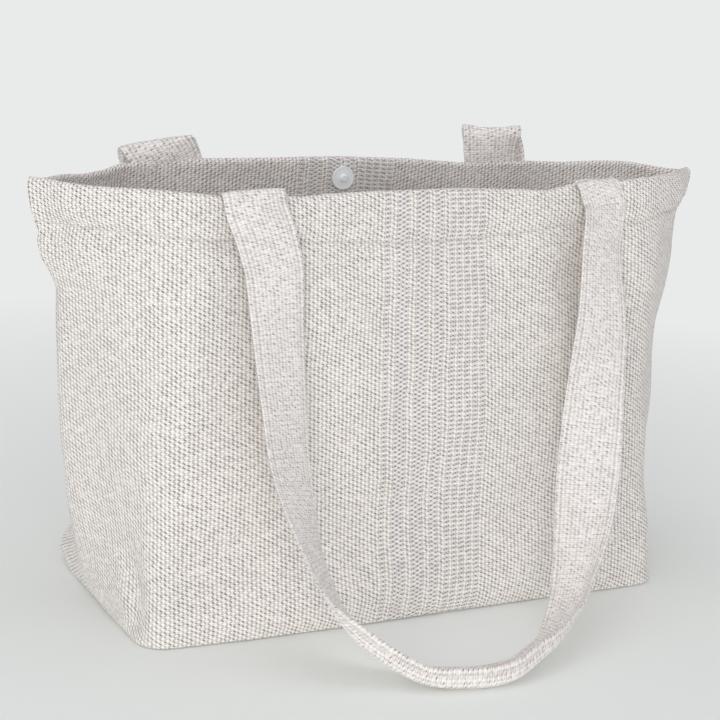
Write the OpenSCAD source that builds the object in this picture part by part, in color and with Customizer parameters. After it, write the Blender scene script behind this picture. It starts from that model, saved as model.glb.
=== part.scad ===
// Open tote bag of thick handwoven cloth, standing on its base, with two long straps and a magnetic snap.
// X runs along the mouth, Y from front to rear and Z up. The origin is the middle of the base, on the
// floor. Sizes are in millimetres and describe the bag open at rest, its straps hanging down outside.

/* [Body] */
// Length of the base
base_w = 404; // [340:2:460]
// Depth of the base from front to rear
base_d = 194; // [170:2:230]
// Radius of the corners of the base
corner_r = 22; // [14:1:30]
// Height of the rim above the floor
bag_h = 305; // [260:5:360]
// Length of the mouth from side seam to side seam
mouth_w = 532; // [500:2:600]
// Depth of the mouth in front of the side seams
mouth_front = 72; // [64:1:84]
// Depth of the mouth behind the side seams
mouth_rear = 86; // [74:1:92]
// Length of the straight middle part of each rim
rim_straight = 320; // [312:2:340]
// How far the front and rear walls belly out above the base
belly = 6; // [0:1:12]
// How full the sides stand out between base and rim, from 0 to 1
side_fill = 0.72; // [0.5:0.02:0.85]
// Thickness of the woven cloth
cloth_t = 2.2; // [1.4:0.1:3]

/* [Hem and seams] */
// Depth of the hem turned in at the mouth
hem_h = 35; // [30:1:45]
// Thickness of the turned-in hem, two layers of cloth
hem_t = 4.4; // [4.2:0.1:5.6]
// Width of the seam allowances inside the bag
allowance_w = 11; // [6:1:16]
// Thickness of a seam allowance, two layers of cloth
allowance_t = 3.6; // [2.4:0.1:5]

/* [Straps] */
// Width of a strap
strap_w = 45; // [30:1:48]
// Thickness of a strap, a tube of cloth pressed flat
strap_t = 3.6; // [2.4:0.1:3.8]
// Distance of each strap end from the middle of the bag
strap_x = 134; // [110:1:135]
// Length of a strap end sewn in under the hem
strap_sewn = 29; // [18:1:30]
// How far the loop of a hanging strap reaches out over the floor
strap_reach = 124; // [70:1:150]
// Radius at which a strap turns over the front rim
front_turn_r = 3.2; // [3:0.1:3.4]
// Radius at which a strap turns over behind the rear rim
rear_turn_r = 6; // [5:0.5:10]
// Height to which the rear strap stands up from the rim before it turns over
rear_stand = 17; // [8:1:26]
// Height of the edge that stands up where a strap lies on the floor
curl_w = 14; // [8:1:18]

/* [Snap] */
// Diameter of the magnetic snap
snap_d = 18; // [14:0.5:20]
// Distance of the snap below the rim
snap_drop = 14; // [12:0.5:18]
// Height of the socket half above the cloth
socket_h = 3.6; // [3:0.1:4.5]
// Height of the plate of the stud half above the cloth
plate_h = 1.6; // [1.4:0.1:2.2]
// Diameter of the stud
stud_d = 5.6; // [4:0.1:6.4]
// Height of the stud above its plate
stud_h = 2.4; // [1.6:0.1:2.8]
// Thickness of the snap's sheet metal
sheet_t = 0.5; // [0.4:0.05:0.6]
// Width of a prong
prong_w = 4; // [3:0.1:5]
// Distance between the two prongs
prong_gap = 8; // [6:0.5:9]
// Diameter of the backing washers
washer_d = 16; // [14:0.5:17]

/* [Fits] */
// Gap between bodies that move against each other
move_gap = 0.3; // [0.2:0.05:0.6]
// Gap between pieces that lie on each other in one body
lay_gap = 0.1; // [0.05:0.05:0.15]
// Radial play round the stud, the prongs and the parts of the snap
snap_play = 0.3; // [0.15:0.05:0.4]

/* [Hidden] */

front = -1;
rear = 1;
left = -1;
right = 1;

cloth_colour = [0.80, 0.77, 0.74];
strap_colour = [0.84, 0.82, 0.79];
metal_colour = [0.78, 0.82, 0.86];
magnet_colour = [0.30, 0.30, 0.32];

wall_z = cloth_t + move_gap;            // the walls start just above the base cloth
wall_h = bag_h - wall_z;
facing_in = cloth_t + lay_gap;          // outer face of the turned-in hem, in from the outside of the wall
rim_t = facing_in + hem_t;              // whole thickness of the rim
panel_columns = 16;
side_columns = 8;
strap_steps = 2;                        // rings between two stations of a strap
cut = 1;                                // how far a cut runs past the face that it opens
snap_room = 1.8;                        // depth in the hem that the washer and the bent prongs take up
prong_bend = 3.2;                       // length of the bent end of a prong
curl_turn = 75;                         // how steeply the outer edge of a lying strap stands up
edge_turn = 18;                         // how steeply its inner edge does
mitre_limit = 0.5;

// Arithmetic

function mix(a, b, f) = a + (b - a) * f;
function smooth(f) = f * f * (3 - 2 * f);
function unit(v) = v / norm(v);
function mouth(side) = side == front ? mouth_front : mouth_rear;

// Heights of the rows of points in the cloth, as shares v of the walls' height. All layers share them, so
// that their flat facets lie evenly on each other.

seam_v = (allowance_t + 2 * move_gap) / wall_h;
hem_v = 1 - hem_h / wall_h;
seam_rows = [for (i = [0 : 10]) mix(seam_v, hem_v, i / 10)];
hem_rows = [hem_v, mix(hem_v, 1, 0.5), 1];
cloth_rows = concat([0], seam_rows, [hem_rows[1], 1]);

// Outside of the front and rear walls: f runs from -1 at the left corner to 1 at the right, v from 0 at the
// base to 1 at the rim.

function bow(v) = 27 / 4 * v * (1 - v) * (1 - v);          // 1 where it is fullest, a third of the way up
function wall_y(side, v) = side * (mix(base_d / 2, mouth(side), v) + belly * bow(v));
function panel_half(v) = mix(base_w / 2 - corner_r, rim_straight / 2, v);
panel_end = 1 - move_gap / panel_half(1);
function panel_point(side, f, v) = [
    f * panel_half(v),
    side * (mix(base_d / 2, mouth(side), v) + belly * bow(v) * (1 - f * f)),
    wall_z + wall_h * v,
];

// Outside of the sides: t runs from 0 at the side seam to 1 at the corner where a wall starts.

side_flat = base_d / 2 - corner_r;
side_arc = corner_r * PI / 2;
function side_fullness(v) = side_fill * (1 - pow(1 - v, 4)) + (1 - side_fill) * pow(v, 6);
function base_path(t) =
    let (s = t * (side_flat + side_arc), a = max(0, s - side_flat) / corner_r * 180 / PI)
    s < side_flat ? [base_w / 2, s]
                  : [base_w / 2 - corner_r * (1 - cos(a)), side_flat + corner_r * sin(a)];
function rim_path(side, t) = [mix(mouth_w, rim_straight, t) / 2, mouth(side) * (1 - (1 - t) * (1 - t))];
function side_point(side, end, t, v) =
    let (b = base_path(t), r = rim_path(side, t), f = mix(side_fullness(v), v, smooth(t)))
    [end * mix(b[0], r[0], f), side * mix(b[1], r[1], v), wall_z + wall_h * v];

// Points at a depth below the outside, measured square to the cloth. At the side seam the layers are
// mitred, and at the base they are cut level.

probe = 0.002;
function level(n, v) = v > 0 ? n : [n[0], n[1], 0];
function panel_in(side, f, v) =
    let (a = panel_point(side, f + probe, v) - panel_point(side, f - probe, v),
         b = panel_point(side, f, v + probe) - panel_point(side, f, v - probe))
    unit(level(cross(a, b), v)) * side;
function side_normal(side, end, t, v) =
    let (a = side_point(side, end, t + probe, v) - side_point(side, end, max(0, t - probe), v),
         b = side_point(side, end, t, v + probe) - side_point(side, end, t, v - probe))
    unit(level(cross(a, b), v)) * -side * end;
function side_in(side, end, t, v) =
    t > 0 ? side_normal(side, end, t, v)
          : [-end / max(mitre_limit, abs(side_normal(rear, end, 0, v)[0])), 0, 0];
function panel_at(side, f, v, depth) = panel_point(side, f, v) + depth * panel_in(side, f, v);
function side_at(side, end, t, v, depth) = side_point(side, end, t, v) + depth * side_in(side, end, t, v);

// A closed layer of cloth from two grids of points, each a list of rows, the outer one first.

module layer(outer, inner) {
    rows = len(outer);
    cols = len(outer[0]);
    count = rows * cols;
    flat = [for (grid = [outer, inner]) for (row = grid) for (p = row) p];
    skin = [for (i = [0 : rows - 2]) for (j = [0 : cols - 2])
        let (a = i * cols + j, b = a + 1, c = a + cols, d = c + 1) each [[a, c, b], [b, c, d]]];
    ring = concat(
        [for (j = [0 : cols - 1]) j],
        [for (i = [1 : rows - 1]) i * cols + cols - 1],
        [for (j = [cols - 2 : -1 : 0]) (rows - 1) * cols + j],
        [for (i = [rows - 2 : -1 : 1]) i * cols]);
    back = [for (f = skin) [f[0] + count, f[2] + count, f[1] + count]];
    edge = [for (k = [0 : len(ring) - 1])
        let (a = ring[k], b = ring[(k + 1) % len(ring)])
        each [[a, b, a + count], [b, b + count, a + count]]];
    polyhedron(flat, concat(skin, back, edge));
}

// Turns the layer inside out where its grid runs the other way, so that every face points outwards.

module cloth(outer, inner, flip) {
    if (flip)
        layer(inner, outer);
    else
        layer(outer, inner);
}

module wall_layer(side, rows, depth, thick) {
    function grid(d) = [for (v = rows) [for (j = [0 : panel_columns])
        panel_at(side, mix(-panel_end, panel_end, j / panel_columns), v, d)]];
    cloth(grid(depth), grid(depth + thick), side == rear);
}

module side_layer(side, end, rows, depth, thick) {
    function grid(d) = [for (v = rows) [for (j = [0 : side_columns])
        side_at(side, end, j / side_columns, v, d)]];
    cloth(grid(depth), grid(depth + thick), side * end < 0);
}

// Base and seams

module base_outline() {
    square([base_w - 2 * corner_r, base_d], center = true);
    square([base_w, base_d - 2 * corner_r], center = true);
    for (x = [-1, 1], y = [-1, 1])
        translate([x * (base_w / 2 - corner_r), y * (base_d / 2 - corner_r)])
            circle(corner_r, $fn = 48);
}

module base_panel() {
    color(cloth_colour)
        linear_extrude(cloth_t)
            base_outline();
}

// Allowance of the boxed corner, lying on the base along its short edge.
module box_seam(end) {
    long = 2 * side_flat;
    color(cloth_colour)
        translate([end * (base_w / 2 - cloth_t - 2 * move_gap - allowance_w / 2), 0, cloth_t + lay_gap])
            linear_extrude(allowance_t)
                square([allowance_w, long], center = true);
}

module left_box_seam() { box_seam(left); }
module right_box_seam() { box_seam(right); }

// Allowance of the side seam, standing in from the seam between the base and the hem.
module side_seam(end) {
    function root(v) =
        let (slopes = [for (side = [front, rear]) let (n = side_normal(side, end, 0, v)) abs(n[1] / n[0])])
        side_at(rear, end, 0, v, cloth_t)[0] - end * (allowance_t / 2 * max(slopes) + move_gap);
    function grid(x_in) = [for (v = seam_rows) [for (y = [-1, 1])
        [root(v) - end * x_in, y * allowance_t / 2, min(wall_z + wall_h * v, bag_h - hem_h - move_gap)]]];
    color(cloth_colour)
        cloth(grid(0), grid(allowance_w), end == left);
}

module left_side_seam() { side_seam(left); }
module right_side_seam() { side_seam(right); }

// Sides, folded in one piece with the walls and joined at the side seams

module side_cloth(side, end) {
    color(cloth_colour)
        side_layer(side, end, cloth_rows, 0, cloth_t);
}

module left_side_front() { side_cloth(front, left); }
module left_side_rear() { side_cloth(rear, left); }
module right_side_front() { side_cloth(front, right); }
module right_side_rear() { side_cloth(rear, right); }

module hem_end(end) {
    function grid(d) = [for (v = hem_rows) [for (j = [-side_columns : side_columns])
        side_at(j < 0 ? front : rear, end, abs(j) / side_columns, v, d)]];
    color(cloth_colour)
        cloth(grid(facing_in), grid(rim_t), end == left);
}

module left_hem_end() { hem_end(left); }
module right_hem_end() { hem_end(right); }

// Front and rear walls

module panel(side) {
    color(cloth_colour)
        wall_layer(side, cloth_rows, 0, cloth_t);
}

module front_panel() { panel(front); }
module rear_panel() { panel(rear); }

// Slope of a wall at the hem, in degrees from upright, leaning in.
function rim_lean(side, f) =
    let (a = panel_point(side, f, 1), b = panel_point(side, f, hem_v))
    atan2(abs(b[1]) - abs(a[1]), a[2] - b[2]);

// Frame on the inner face of the hem at the rim: local Z points into the bag, local Y up along the wall.
module on_hem(side, drop) {
    v = 1 - drop / wall_h;
    at = panel_at(side, 0, v, rim_t);
    translate(at)
        rotate([side * (90 + rim_lean(side, 0)), 0, 0])
            rotate([0, 0, side == front ? 180 : 0])
                children();
}

// End of a strap under the hem; grow widens it to the pocket that it lies in.
module sewn_end(side, x, grow) {
    low = bag_h - strap_sewn - grow;
    high = side == front ? bag_h : bag_h + rear_stand - move_gap;
    outer_f = (strap_x + strap_w / 2) / panel_half(1);
    lean = rim_lean(side, outer_f);
    top = panel_at(side, outer_f, 1, facing_in + strap_t / 2);
    function deep(z) = z > bag_h ? top[1] : top[1] + side * (bag_h - z) * tan(lean);
    function edge(d, stop) = [for (z = [low, bag_h, if (stop > bag_h) stop]) [d + side * deep(z), z]];
    a = edge(-strap_t / 2 - grow, high);
    b = edge(strap_t / 2 + grow, high);
    translate([x, 0, 0])
        rotate([90, 0, side == front ? -90 : 90])
            linear_extrude(strap_w + 2 * grow, center = true)
                polygon(concat(a, [for (k = [len(b) - 1 : -1 : 0]) b[k]]));
}

module strap_ends(side) {
    color(strap_colour)
        for (end = [left, right])
            sewn_end(side, end * strap_x, 0);
}

module front_strap_ends() { strap_ends(front); }
module rear_strap_ends() { strap_ends(rear); }

// Pocket in the hem for the washer and the bent prongs, and the slots that the prongs pass through.
slot_depth = hem_t + cut;
seat_depth = hem_t - snap_room;
module snap_pocket() {
    translate([0, 0, -slot_depth])
        cylinder(d = washer_d + 2 * snap_play, h = slot_depth - seat_depth, $fn = 48);
    for (x = [-1, 1])
        translate([x * prong_gap / 2, 0, (cut - slot_depth) / 2])
            cube([sheet_t + 2 * snap_play, prong_w + 2 * snap_play, slot_depth + cut], center = true);
}

module hem(side) {
    color(cloth_colour)
        difference() {
            wall_layer(side, hem_rows, facing_in, hem_t);
            for (end = [left, right])
                sewn_end(side, end * strap_x, lay_gap);
            on_hem(side, snap_drop)
                snap_pocket();
        }
}

module front_hem() { hem(front); }
module rear_hem() { hem(rear); }

// Magnetic snap, drawn in the frame of the hem

cap_r = snap_d / 2;
inner_r = cap_r - sheet_t - lay_gap;
hole_r = stud_d / 2 + snap_play;

// Plate with two prongs that pass through the hem and fold flat over the washer.
module prongs() {
    reach = seat_depth + lay_gap + 2 * sheet_t;
    color(metal_colour) {
        translate([0, 0, lay_gap])
            cylinder(r = inner_r - lay_gap, h = sheet_t, $fn = 48);
        for (x = [-1, 1]) {
            translate([x * prong_gap / 2, 0, (lay_gap + sheet_t - reach) / 2])
                cube([sheet_t, prong_w, reach + lay_gap + sheet_t], center = true);
            translate([x * (prong_gap - prong_bend) / 2, 0, sheet_t / 2 - reach])
                cube([prong_bend + sheet_t, prong_w, sheet_t], center = true);
        }
    }
}

module washer() {
    color(metal_colour)
        translate([0, 0, -seat_depth - lay_gap / 2 - sheet_t])
            difference() {
                cylinder(d = washer_d, h = sheet_t, $fn = 48);
                for (x = [-1, 1])
                    translate([x * prong_gap / 2, 0, 0])
                        cube([sheet_t + snap_play, prong_w + snap_play, 2 * (sheet_t + cut)],
                             center = true);
            }
}

module socket_cap() {
    top_t = sheet_t + lay_gap;
    color(metal_colour)
        on_hem(front, snap_drop)
            difference() {
                rotate_extrude($fn = 64)
                    polygon([[0, lay_gap], [cap_r, lay_gap], [cap_r, socket_h - sheet_t],
                             [cap_r - sheet_t, socket_h], [0, socket_h]]);
                translate([0, 0, -cut])
                    cylinder(r = inner_r, h = socket_h - top_t + cut, $fn = 64);
                cylinder(r = hole_r, h = socket_h + cut, $fn = 64);
            }
}

module socket_magnet() {
    low = 2 * lay_gap + sheet_t;
    high = socket_h - sheet_t - 2 * lay_gap;
    color(magnet_colour)
        on_hem(front, snap_drop)
            difference() {
                translate([0, 0, low])
                    cylinder(r = inner_r - lay_gap, h = high - low, $fn = 64);
                cylinder(r = hole_r + lay_gap, h = high + cut, $fn = 64);
            }
}

module socket_prongs() {
    on_hem(front, snap_drop)
        prongs();
}

module front_washer() {
    on_hem(front, snap_drop)
        washer();
}

rivet_r = stud_d / 4;

// Dished plate with a raised bead round its edge.
module stud_plate() {
    bead = sheet_t / 2;
    rise = plate_h - bead;
    color(metal_colour)
        on_hem(rear, snap_drop)
            difference() {
                rotate_extrude($fn = 64)
                    polygon([[0, lay_gap], [cap_r, lay_gap], [cap_r, rise], [cap_r - bead, plate_h],
                             [cap_r - 3 * bead, plate_h], [cap_r - 5 * bead, rise], [0, rise]]);
                translate([0, 0, -cut])
                    cylinder(r = inner_r, h = cut + 2 * lay_gap + sheet_t, $fn = 64);
                cylinder(r = rivet_r + lay_gap, h = plate_h + cut, $fn = 64);
            }
}

module stud_post() {
    face = plate_h - sheet_t / 2;
    chamfer = stud_d / 10;
    low = 3 * lay_gap + sheet_t;
    color(metal_colour)
        on_hem(rear, snap_drop)
            rotate_extrude($fn = 64)
                polygon([[0, low], [rivet_r, low], [rivet_r, face + lay_gap], [stud_d / 2, face + lay_gap],
                         [stud_d / 2, face + stud_h - chamfer], [stud_d / 2 - chamfer, face + stud_h],
                         [0, face + stud_h]]);
}

module stud_prongs() {
    on_hem(rear, snap_drop)
        prongs();
}

module rear_washer() {
    on_hem(rear, snap_drop)
        washer();
}

// Straps

function turn_r(side) = side == front ? front_turn_r : rear_turn_r;
function turn_z(side) = bag_h + (side == front ? move_gap : rear_stand);
function end_y(side) =
    panel_at(side, (strap_x + strap_w / 2) / panel_half(1), 1, facing_in + strap_t / 2)[1];
function turn_y(side) = end_y(side) + side * turn_r(side);

// Where a strap turns over the rim.
module strap_folds(side) {
    r = turn_r(side);
    color(strap_colour)
        for (end = [left, right])
            translate([end * strap_x, turn_y(side), turn_z(side)])
                rotate([90, 0, 90])
                    linear_extrude(strap_w, center = true)
                        difference() {
                            circle(r + strap_t / 2, $fn = 48);
                            circle(r - strap_t / 2, $fn = 48);
                            translate([0, -2 * r - strap_t])
                                square(4 * r + 2 * strap_t, center = true);
                        }
}

module front_strap_folds() { strap_folds(front); }
module rear_strap_folds() { strap_folds(rear); }

// Stations down one leg, round the loop on the floor and up the other leg:
// share of strap_x, share of strap_reach, share of the rim's height, turn of the strap about the vertical,
// and how far its outer edge stands up.
stations = [
    [-1.00, 0.00, 1.000,   0, 0.0],
    [-0.98, 0.00, 0.930,   2, 0.0],
    [-0.94, 0.01, 0.830,   8, 0.0],
    [-0.91, 0.02, 0.700,  16, 0.0],
    [-0.90, 0.05, 0.560,  24, 0.0],
    [-0.89, 0.12, 0.420,  34, 0.0],
    [-0.86, 0.23, 0.280,  48, 0.1],
    [-0.78, 0.38, 0.155,  64, 0.3],
    [-0.65, 0.54, 0.068,  78, 0.6],
    [-0.46, 0.67, 0.020,  87, 0.9],
    [-0.24, 0.75, 0.003,  90, 1.0],
    [ 0.00, 0.76, 0.000,  92, 1.0],
    [ 0.22, 0.69, 0.010,  96, 0.9],
    [ 0.42, 0.56, 0.040, 103, 0.6],
    [ 0.58, 0.42, 0.110, 114, 0.3],
    [ 0.71, 0.29, 0.220, 128, 0.1],
    [ 0.80, 0.18, 0.360, 142, 0.0],
    [ 0.87, 0.10, 0.510, 155, 0.0],
    [ 0.93, 0.04, 0.680, 166, 0.0],
    [ 0.98, 0.00, 0.850, 176, 0.0],
    [ 1.00, 0.00, 1.000, 180, 0.0],
];

// Smooth curve through the points p, at the share f of the way from point i to the next.
function curve(p, i, f) =
    let (n = len(p) - 1, a = p[max(0, i - 1)], b = p[i], c = p[min(n, i + 1)], d = p[min(n, i + 2)])
    (2 * b + (c - a) * f + (2 * a - 5 * b + 4 * c - d) * f * f + (3 * b - a - 3 * c + d) * pow(f, 3)) / 2;

// Place of a station: the strap hangs clear of the wall by half its thickness and by its turned width.
function station_at(side, s) =
    let (low = strap_t / 2 + move_gap,
         z = mix(low, turn_z(side) - move_gap, s[2]),
         v = max(0, min(1, (z - wall_z) / wall_h)),
         hang = max(abs(turn_y(side)) + turn_r(side), abs(wall_y(side, v)) + low + strap_w / 2 * sin(s[3])))
    [s[0] * strap_x, side * (hang + s[1] * strap_reach), z];

// Cross-section of a strap: its middle line at five places from the inner to the outer edge, along the
// width and square to it, with the outer edge standing up by c.
function section(c) =
    let (half = strap_w / 2, knee = half - curl_w, a = curl_turn * c, b = edge_turn * c)
    [[-knee - (half - knee) * cos(b), (half - knee) * sin(b)], [-knee, 0], [0, 0], [knee, 0],
     [knee + curl_w * cos(a), curl_w * sin(a)]];
function section_normal(line, i) =
    let (d = unit(line[min(i + 1, len(line) - 1)] - line[max(i - 1, 0)])) [-d[1], d[0]];

module strap(side) {
    ways = [for (s = stations) concat(station_at(side, s), [s[3], s[4]])];
    rings = [for (i = [0 : len(ways) - 2]) for (k = [0 : strap_steps - 1]) curve(ways, i, k / strap_steps),
             ways[len(ways) - 1]];
    last = len(rings) - 1;
    function place(i) = [rings[i][0], rings[i][1], rings[i][2]];
    function along(i) = i == 0 || i == last ? [0, 0, i == 0 ? -1 : 1] : unit(place(i + 1) - place(i - 1));
    function across(i) =
        let (t = along(i), a = rings[i][3], w = [-cos(a), side * sin(a), 0]) unit(w - (w * t) * t);
    function ring(i, h) =
        let (t = along(i), w = across(i), n = cross(w, t) * -side, line = section(max(0, rings[i][4])))
        [for (j = [0 : len(line) - 1])
            let (q = line[j] + h * section_normal(line, j))
            place(i) + w * q[0] + n * q[1]];
    color(strap_colour)
        cloth([for (i = [0 : last]) ring(i, strap_t / 2)], [for (i = [0 : last]) ring(i, -strap_t / 2)],
              side == rear);
}

module front_strap() { strap(front); }
module rear_strap() { strap(rear); }

base_panel();
left_box_seam();
right_box_seam();
left_side_front();
left_side_rear();
right_side_front();
right_side_rear();
left_side_seam();
right_side_seam();
left_hem_end();
right_hem_end();
front_panel();
front_hem();
front_strap_ends();
socket_cap();
socket_magnet();
socket_prongs();
front_washer();
rear_panel();
rear_hem();
rear_strap_ends();
stud_plate();
stud_post();
stud_prongs();
rear_washer();
front_strap();
front_strap_folds();
rear_strap();
rear_strap_folds();
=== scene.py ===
import math

import bpy
import numpy as np
from mathutils import Matrix, Vector


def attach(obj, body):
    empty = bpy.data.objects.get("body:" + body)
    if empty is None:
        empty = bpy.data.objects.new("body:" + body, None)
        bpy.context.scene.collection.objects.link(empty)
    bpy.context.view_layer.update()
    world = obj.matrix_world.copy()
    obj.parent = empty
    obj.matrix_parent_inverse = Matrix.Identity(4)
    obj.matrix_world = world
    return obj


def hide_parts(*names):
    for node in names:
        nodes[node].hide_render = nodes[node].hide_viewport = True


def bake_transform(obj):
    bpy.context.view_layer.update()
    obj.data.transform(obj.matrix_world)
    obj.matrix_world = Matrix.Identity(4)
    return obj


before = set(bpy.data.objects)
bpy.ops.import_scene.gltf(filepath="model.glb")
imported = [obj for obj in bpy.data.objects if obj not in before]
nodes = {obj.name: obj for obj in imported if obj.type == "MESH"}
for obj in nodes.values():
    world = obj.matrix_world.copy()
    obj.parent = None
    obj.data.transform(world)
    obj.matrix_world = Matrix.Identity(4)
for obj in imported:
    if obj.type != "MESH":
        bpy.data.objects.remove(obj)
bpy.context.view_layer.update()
front, rear = -1, 1                         # which way each wall lies along y
wallWords = {front: "front", rear: "rear"}
handWords = {-1: "left", 1: "right"}        # which way each end of the bag lies along x
print("frame loaded:", len(nodes), "solids")


def addObject(name, data):
    made = bpy.data.objects.new(name, data)
    bpy.context.scene.collection.objects.link(made)
    return made


# Camera

cameraSizes = {
    "place": (-0.5517, -1.1235, 0.4666),    # m
    "yaw": 25.493,    # degrees to the right of straight ahead
    "pitch": 13.598,    # degrees down
    "roll": 2.649,
    "lens": 2.3856944,    # focal length over the width of the sensor
    "sensor": 36,    # mm
    "farthest": 200,    # m
}


def makeCamera(sizes):
    yaw, pitch, roll = (math.radians(sizes[key]) for key in ("yaw", "pitch", "roll"))
    ahead = Vector((math.sin(yaw) * math.cos(pitch), math.cos(yaw) * math.cos(pitch), -math.sin(pitch)))
    right = ahead.cross(Vector((0, 0, 1))).normalized()
    up = right.cross(ahead)
    turnedRight = right * math.cos(roll) + up * math.sin(roll)
    turnedUp = up * math.cos(roll) - right * math.sin(roll)
    data = bpy.data.cameras.new("bagCamera")
    data.sensor_width = sizes["sensor"]
    data.lens = sizes["sensor"] * sizes["lens"]
    data.clip_end = sizes["farthest"]
    camera = addObject("bagCamera", data)
    camera.matrix_world = Matrix((turnedRight, turnedUp, -ahead)).transposed().to_4x4()
    camera.location = sizes["place"]
    bpy.context.scene.camera = camera


makeCamera(cameraSizes)


# Shared helpers; lengths are in millimetres until a mesh is made

farFromStitches = 1000    # the stitchGap of cloth with no row of stitches near it


def mix(a, b, f):
    return a + (b - a) * f


def smooth(f):
    f = np.clip(f, 0, 1)
    return f * f * (3 - 2 * f)


def hump(distance, reach):
    return np.exp(-(distance / reach) ** 2)


def along(points, axis):    # running length of a grid of points along one of its axes, starting at 0
    steps = np.linalg.norm(np.diff(points, axis=axis), axis=-1)
    start = np.zeros_like(np.take(steps, [0], axis=axis))
    return np.concatenate([start, np.cumsum(steps, axis=axis)], axis=axis)


def unit(vectors):
    return vectors / np.maximum(np.linalg.norm(vectors, axis=-1, keepdims=True), 1e-9)


def makeObject(name, points, faces, uvs, material, normals=None, stitchGap=None):
    # points, uvs and normals may be grids; stitchGap is the distance from the nearest row of stitches
    mesh = bpy.data.meshes.new(name)
    mesh.from_pydata((points.reshape(-1, 3) / 1000).tolist(), [], faces)
    layer = mesh.uv_layers.new(name="weave")
    corners = np.zeros(len(mesh.loops), int)
    mesh.loops.foreach_get("vertex_index", corners)
    layer.data.foreach_set("uv", (uvs.reshape(-1, 2)[corners] / 1000).ravel())
    mesh.polygons.foreach_set("use_smooth", [True] * len(mesh.polygons))
    mesh.materials.append(material)
    gap = np.full(len(mesh.vertices), farFromStitches) if stitchGap is None else np.ravel(stitchGap)
    gap = (gap / 1000).astype(np.float32)
    mesh.attributes.new("stitchGap", "FLOAT", "POINT").data.foreach_set("value", gap)
    mesh.update()
    if normals is not None:
        mesh.normals_split_custom_set_from_vertices(normals.reshape(-1, 3).tolist())
    return addObject(name, mesh)


def tubeFaces(rings, around):    # faces of rings of points that are joined in turn, with both ends closed
    faces = []
    for i in range(rings - 1):
        for j in range(around):
            k = (j + 1) % around
            faces.append([i * around + j, i * around + k, (i + 1) * around + k, (i + 1) * around + j])
    faces.append(list(range(around))[::-1])
    faces.append([(rings - 1) * around + j for j in range(around)])
    return faces


# Materials

def linear(code):    # an sRGB colour such as "#C0FFEE" as the linear values that the shaders want
    parts = [int(code[i:i + 2], 16) / 255 for i in (1, 3, 5)]
    return [p / 12.92 if p <= 0.04045 else ((p + 0.055) / 1.055) ** 2.4 for p in parts] + [1]


def addNode(tree, kind, inputs=None, **settings):
    # an input is a value, an output of another node, or a node, which stands for its first output
    node = tree.nodes.new(kind)
    for key, value in settings.items():
        setattr(node, key, value)
    for socket, value in (inputs or {}).items():
        value = value.outputs[0] if isinstance(value, bpy.types.Node) else value
        if isinstance(value, bpy.types.NodeSocket):
            tree.links.new(value, node.inputs[socket])
        else:
            node.inputs[socket].default_value = value
    return node


def newMaterial(name):
    material = bpy.data.materials.new(name)
    material.use_nodes = True
    material.node_tree.nodes.clear()
    return material, material.node_tree


bagWeave = {
    "warpSpacing": 3.0,    # mm from one warp thread to the next
    "pickSpacing": 1.6,    # mm from one weft thread to the next
    # gap and stitchShade are colours of painted shade: in the pinholes, the ribs and between the picks, and
    # in the groove of a row of stitches
    "weft": "#FAF5EF", "gap": "#583F40", "navy": "#1D2356", "stitchShade": "#A2959A",
    "wander": ((45.0, 1.6), (380.0, 0.7)),    # how the threads stray: noise scale, and distance in mm
    "pitLength": 0.35, "pitHeight": 0.29,     # half sizes of a pinhole, as shares of the two spacings
    "pitDepth": 0.92, "slant": 1.1,
    "pitChance": 0.7,      # how unequal the pinholes are
    "secondPit": 0.5,      # how much fainter every second one is
    "navyPit": 0.7,        # how much fainter they are beside navy threads
    "navyHeight": 0.38, "navyWidth": 0.31,    # half sizes of a navy stroke
    "sway": 3.4, "swayMiddle": 0.40,    # how the strokes lean to either side
    "navyThreads": [(-12, -12), (-9, -7), (-4, -2), (1, 2), (5, 5), (7, 7), (9, 9), (11, 11), (13, 13)],
    "navyReach": 16,       # the navy threads are all among this many on each side of the middle
    "rib": 0.0, "grain": 0.04,    # painted shade in the ribs and between the picks
    "slub": 0.16, "broad": 0.08, "uneven": 0.12,    # tone along a pick, over the cloth, from grain to grain
    "slubAlong": 90.0, "slubNext": 7.3,    # how fast the tone changes along a pick, and to the next one
    "stitchReach": 0.8, "stitchDark": 0.24,    # the dent of a row of stitches, in mm, and the painted shade in it
    "relief": 0.55,        # mm
    "grainRelief": 0.15, "pitRelief": 0.6, "fuzzRelief": 0.3,
    "brightness": 1.0,
}
strapWeave = {
    **bagWeave, "weft": "#FCF7F2", "gap": "#6A5A5E", "navyThreads": [], "brightness": 1.02,
    "pitLength": 0.34, "pitHeight": 0.28, "pitDepth": 0.42, "slant": 0.9, "rib": 0.10,
}
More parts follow.
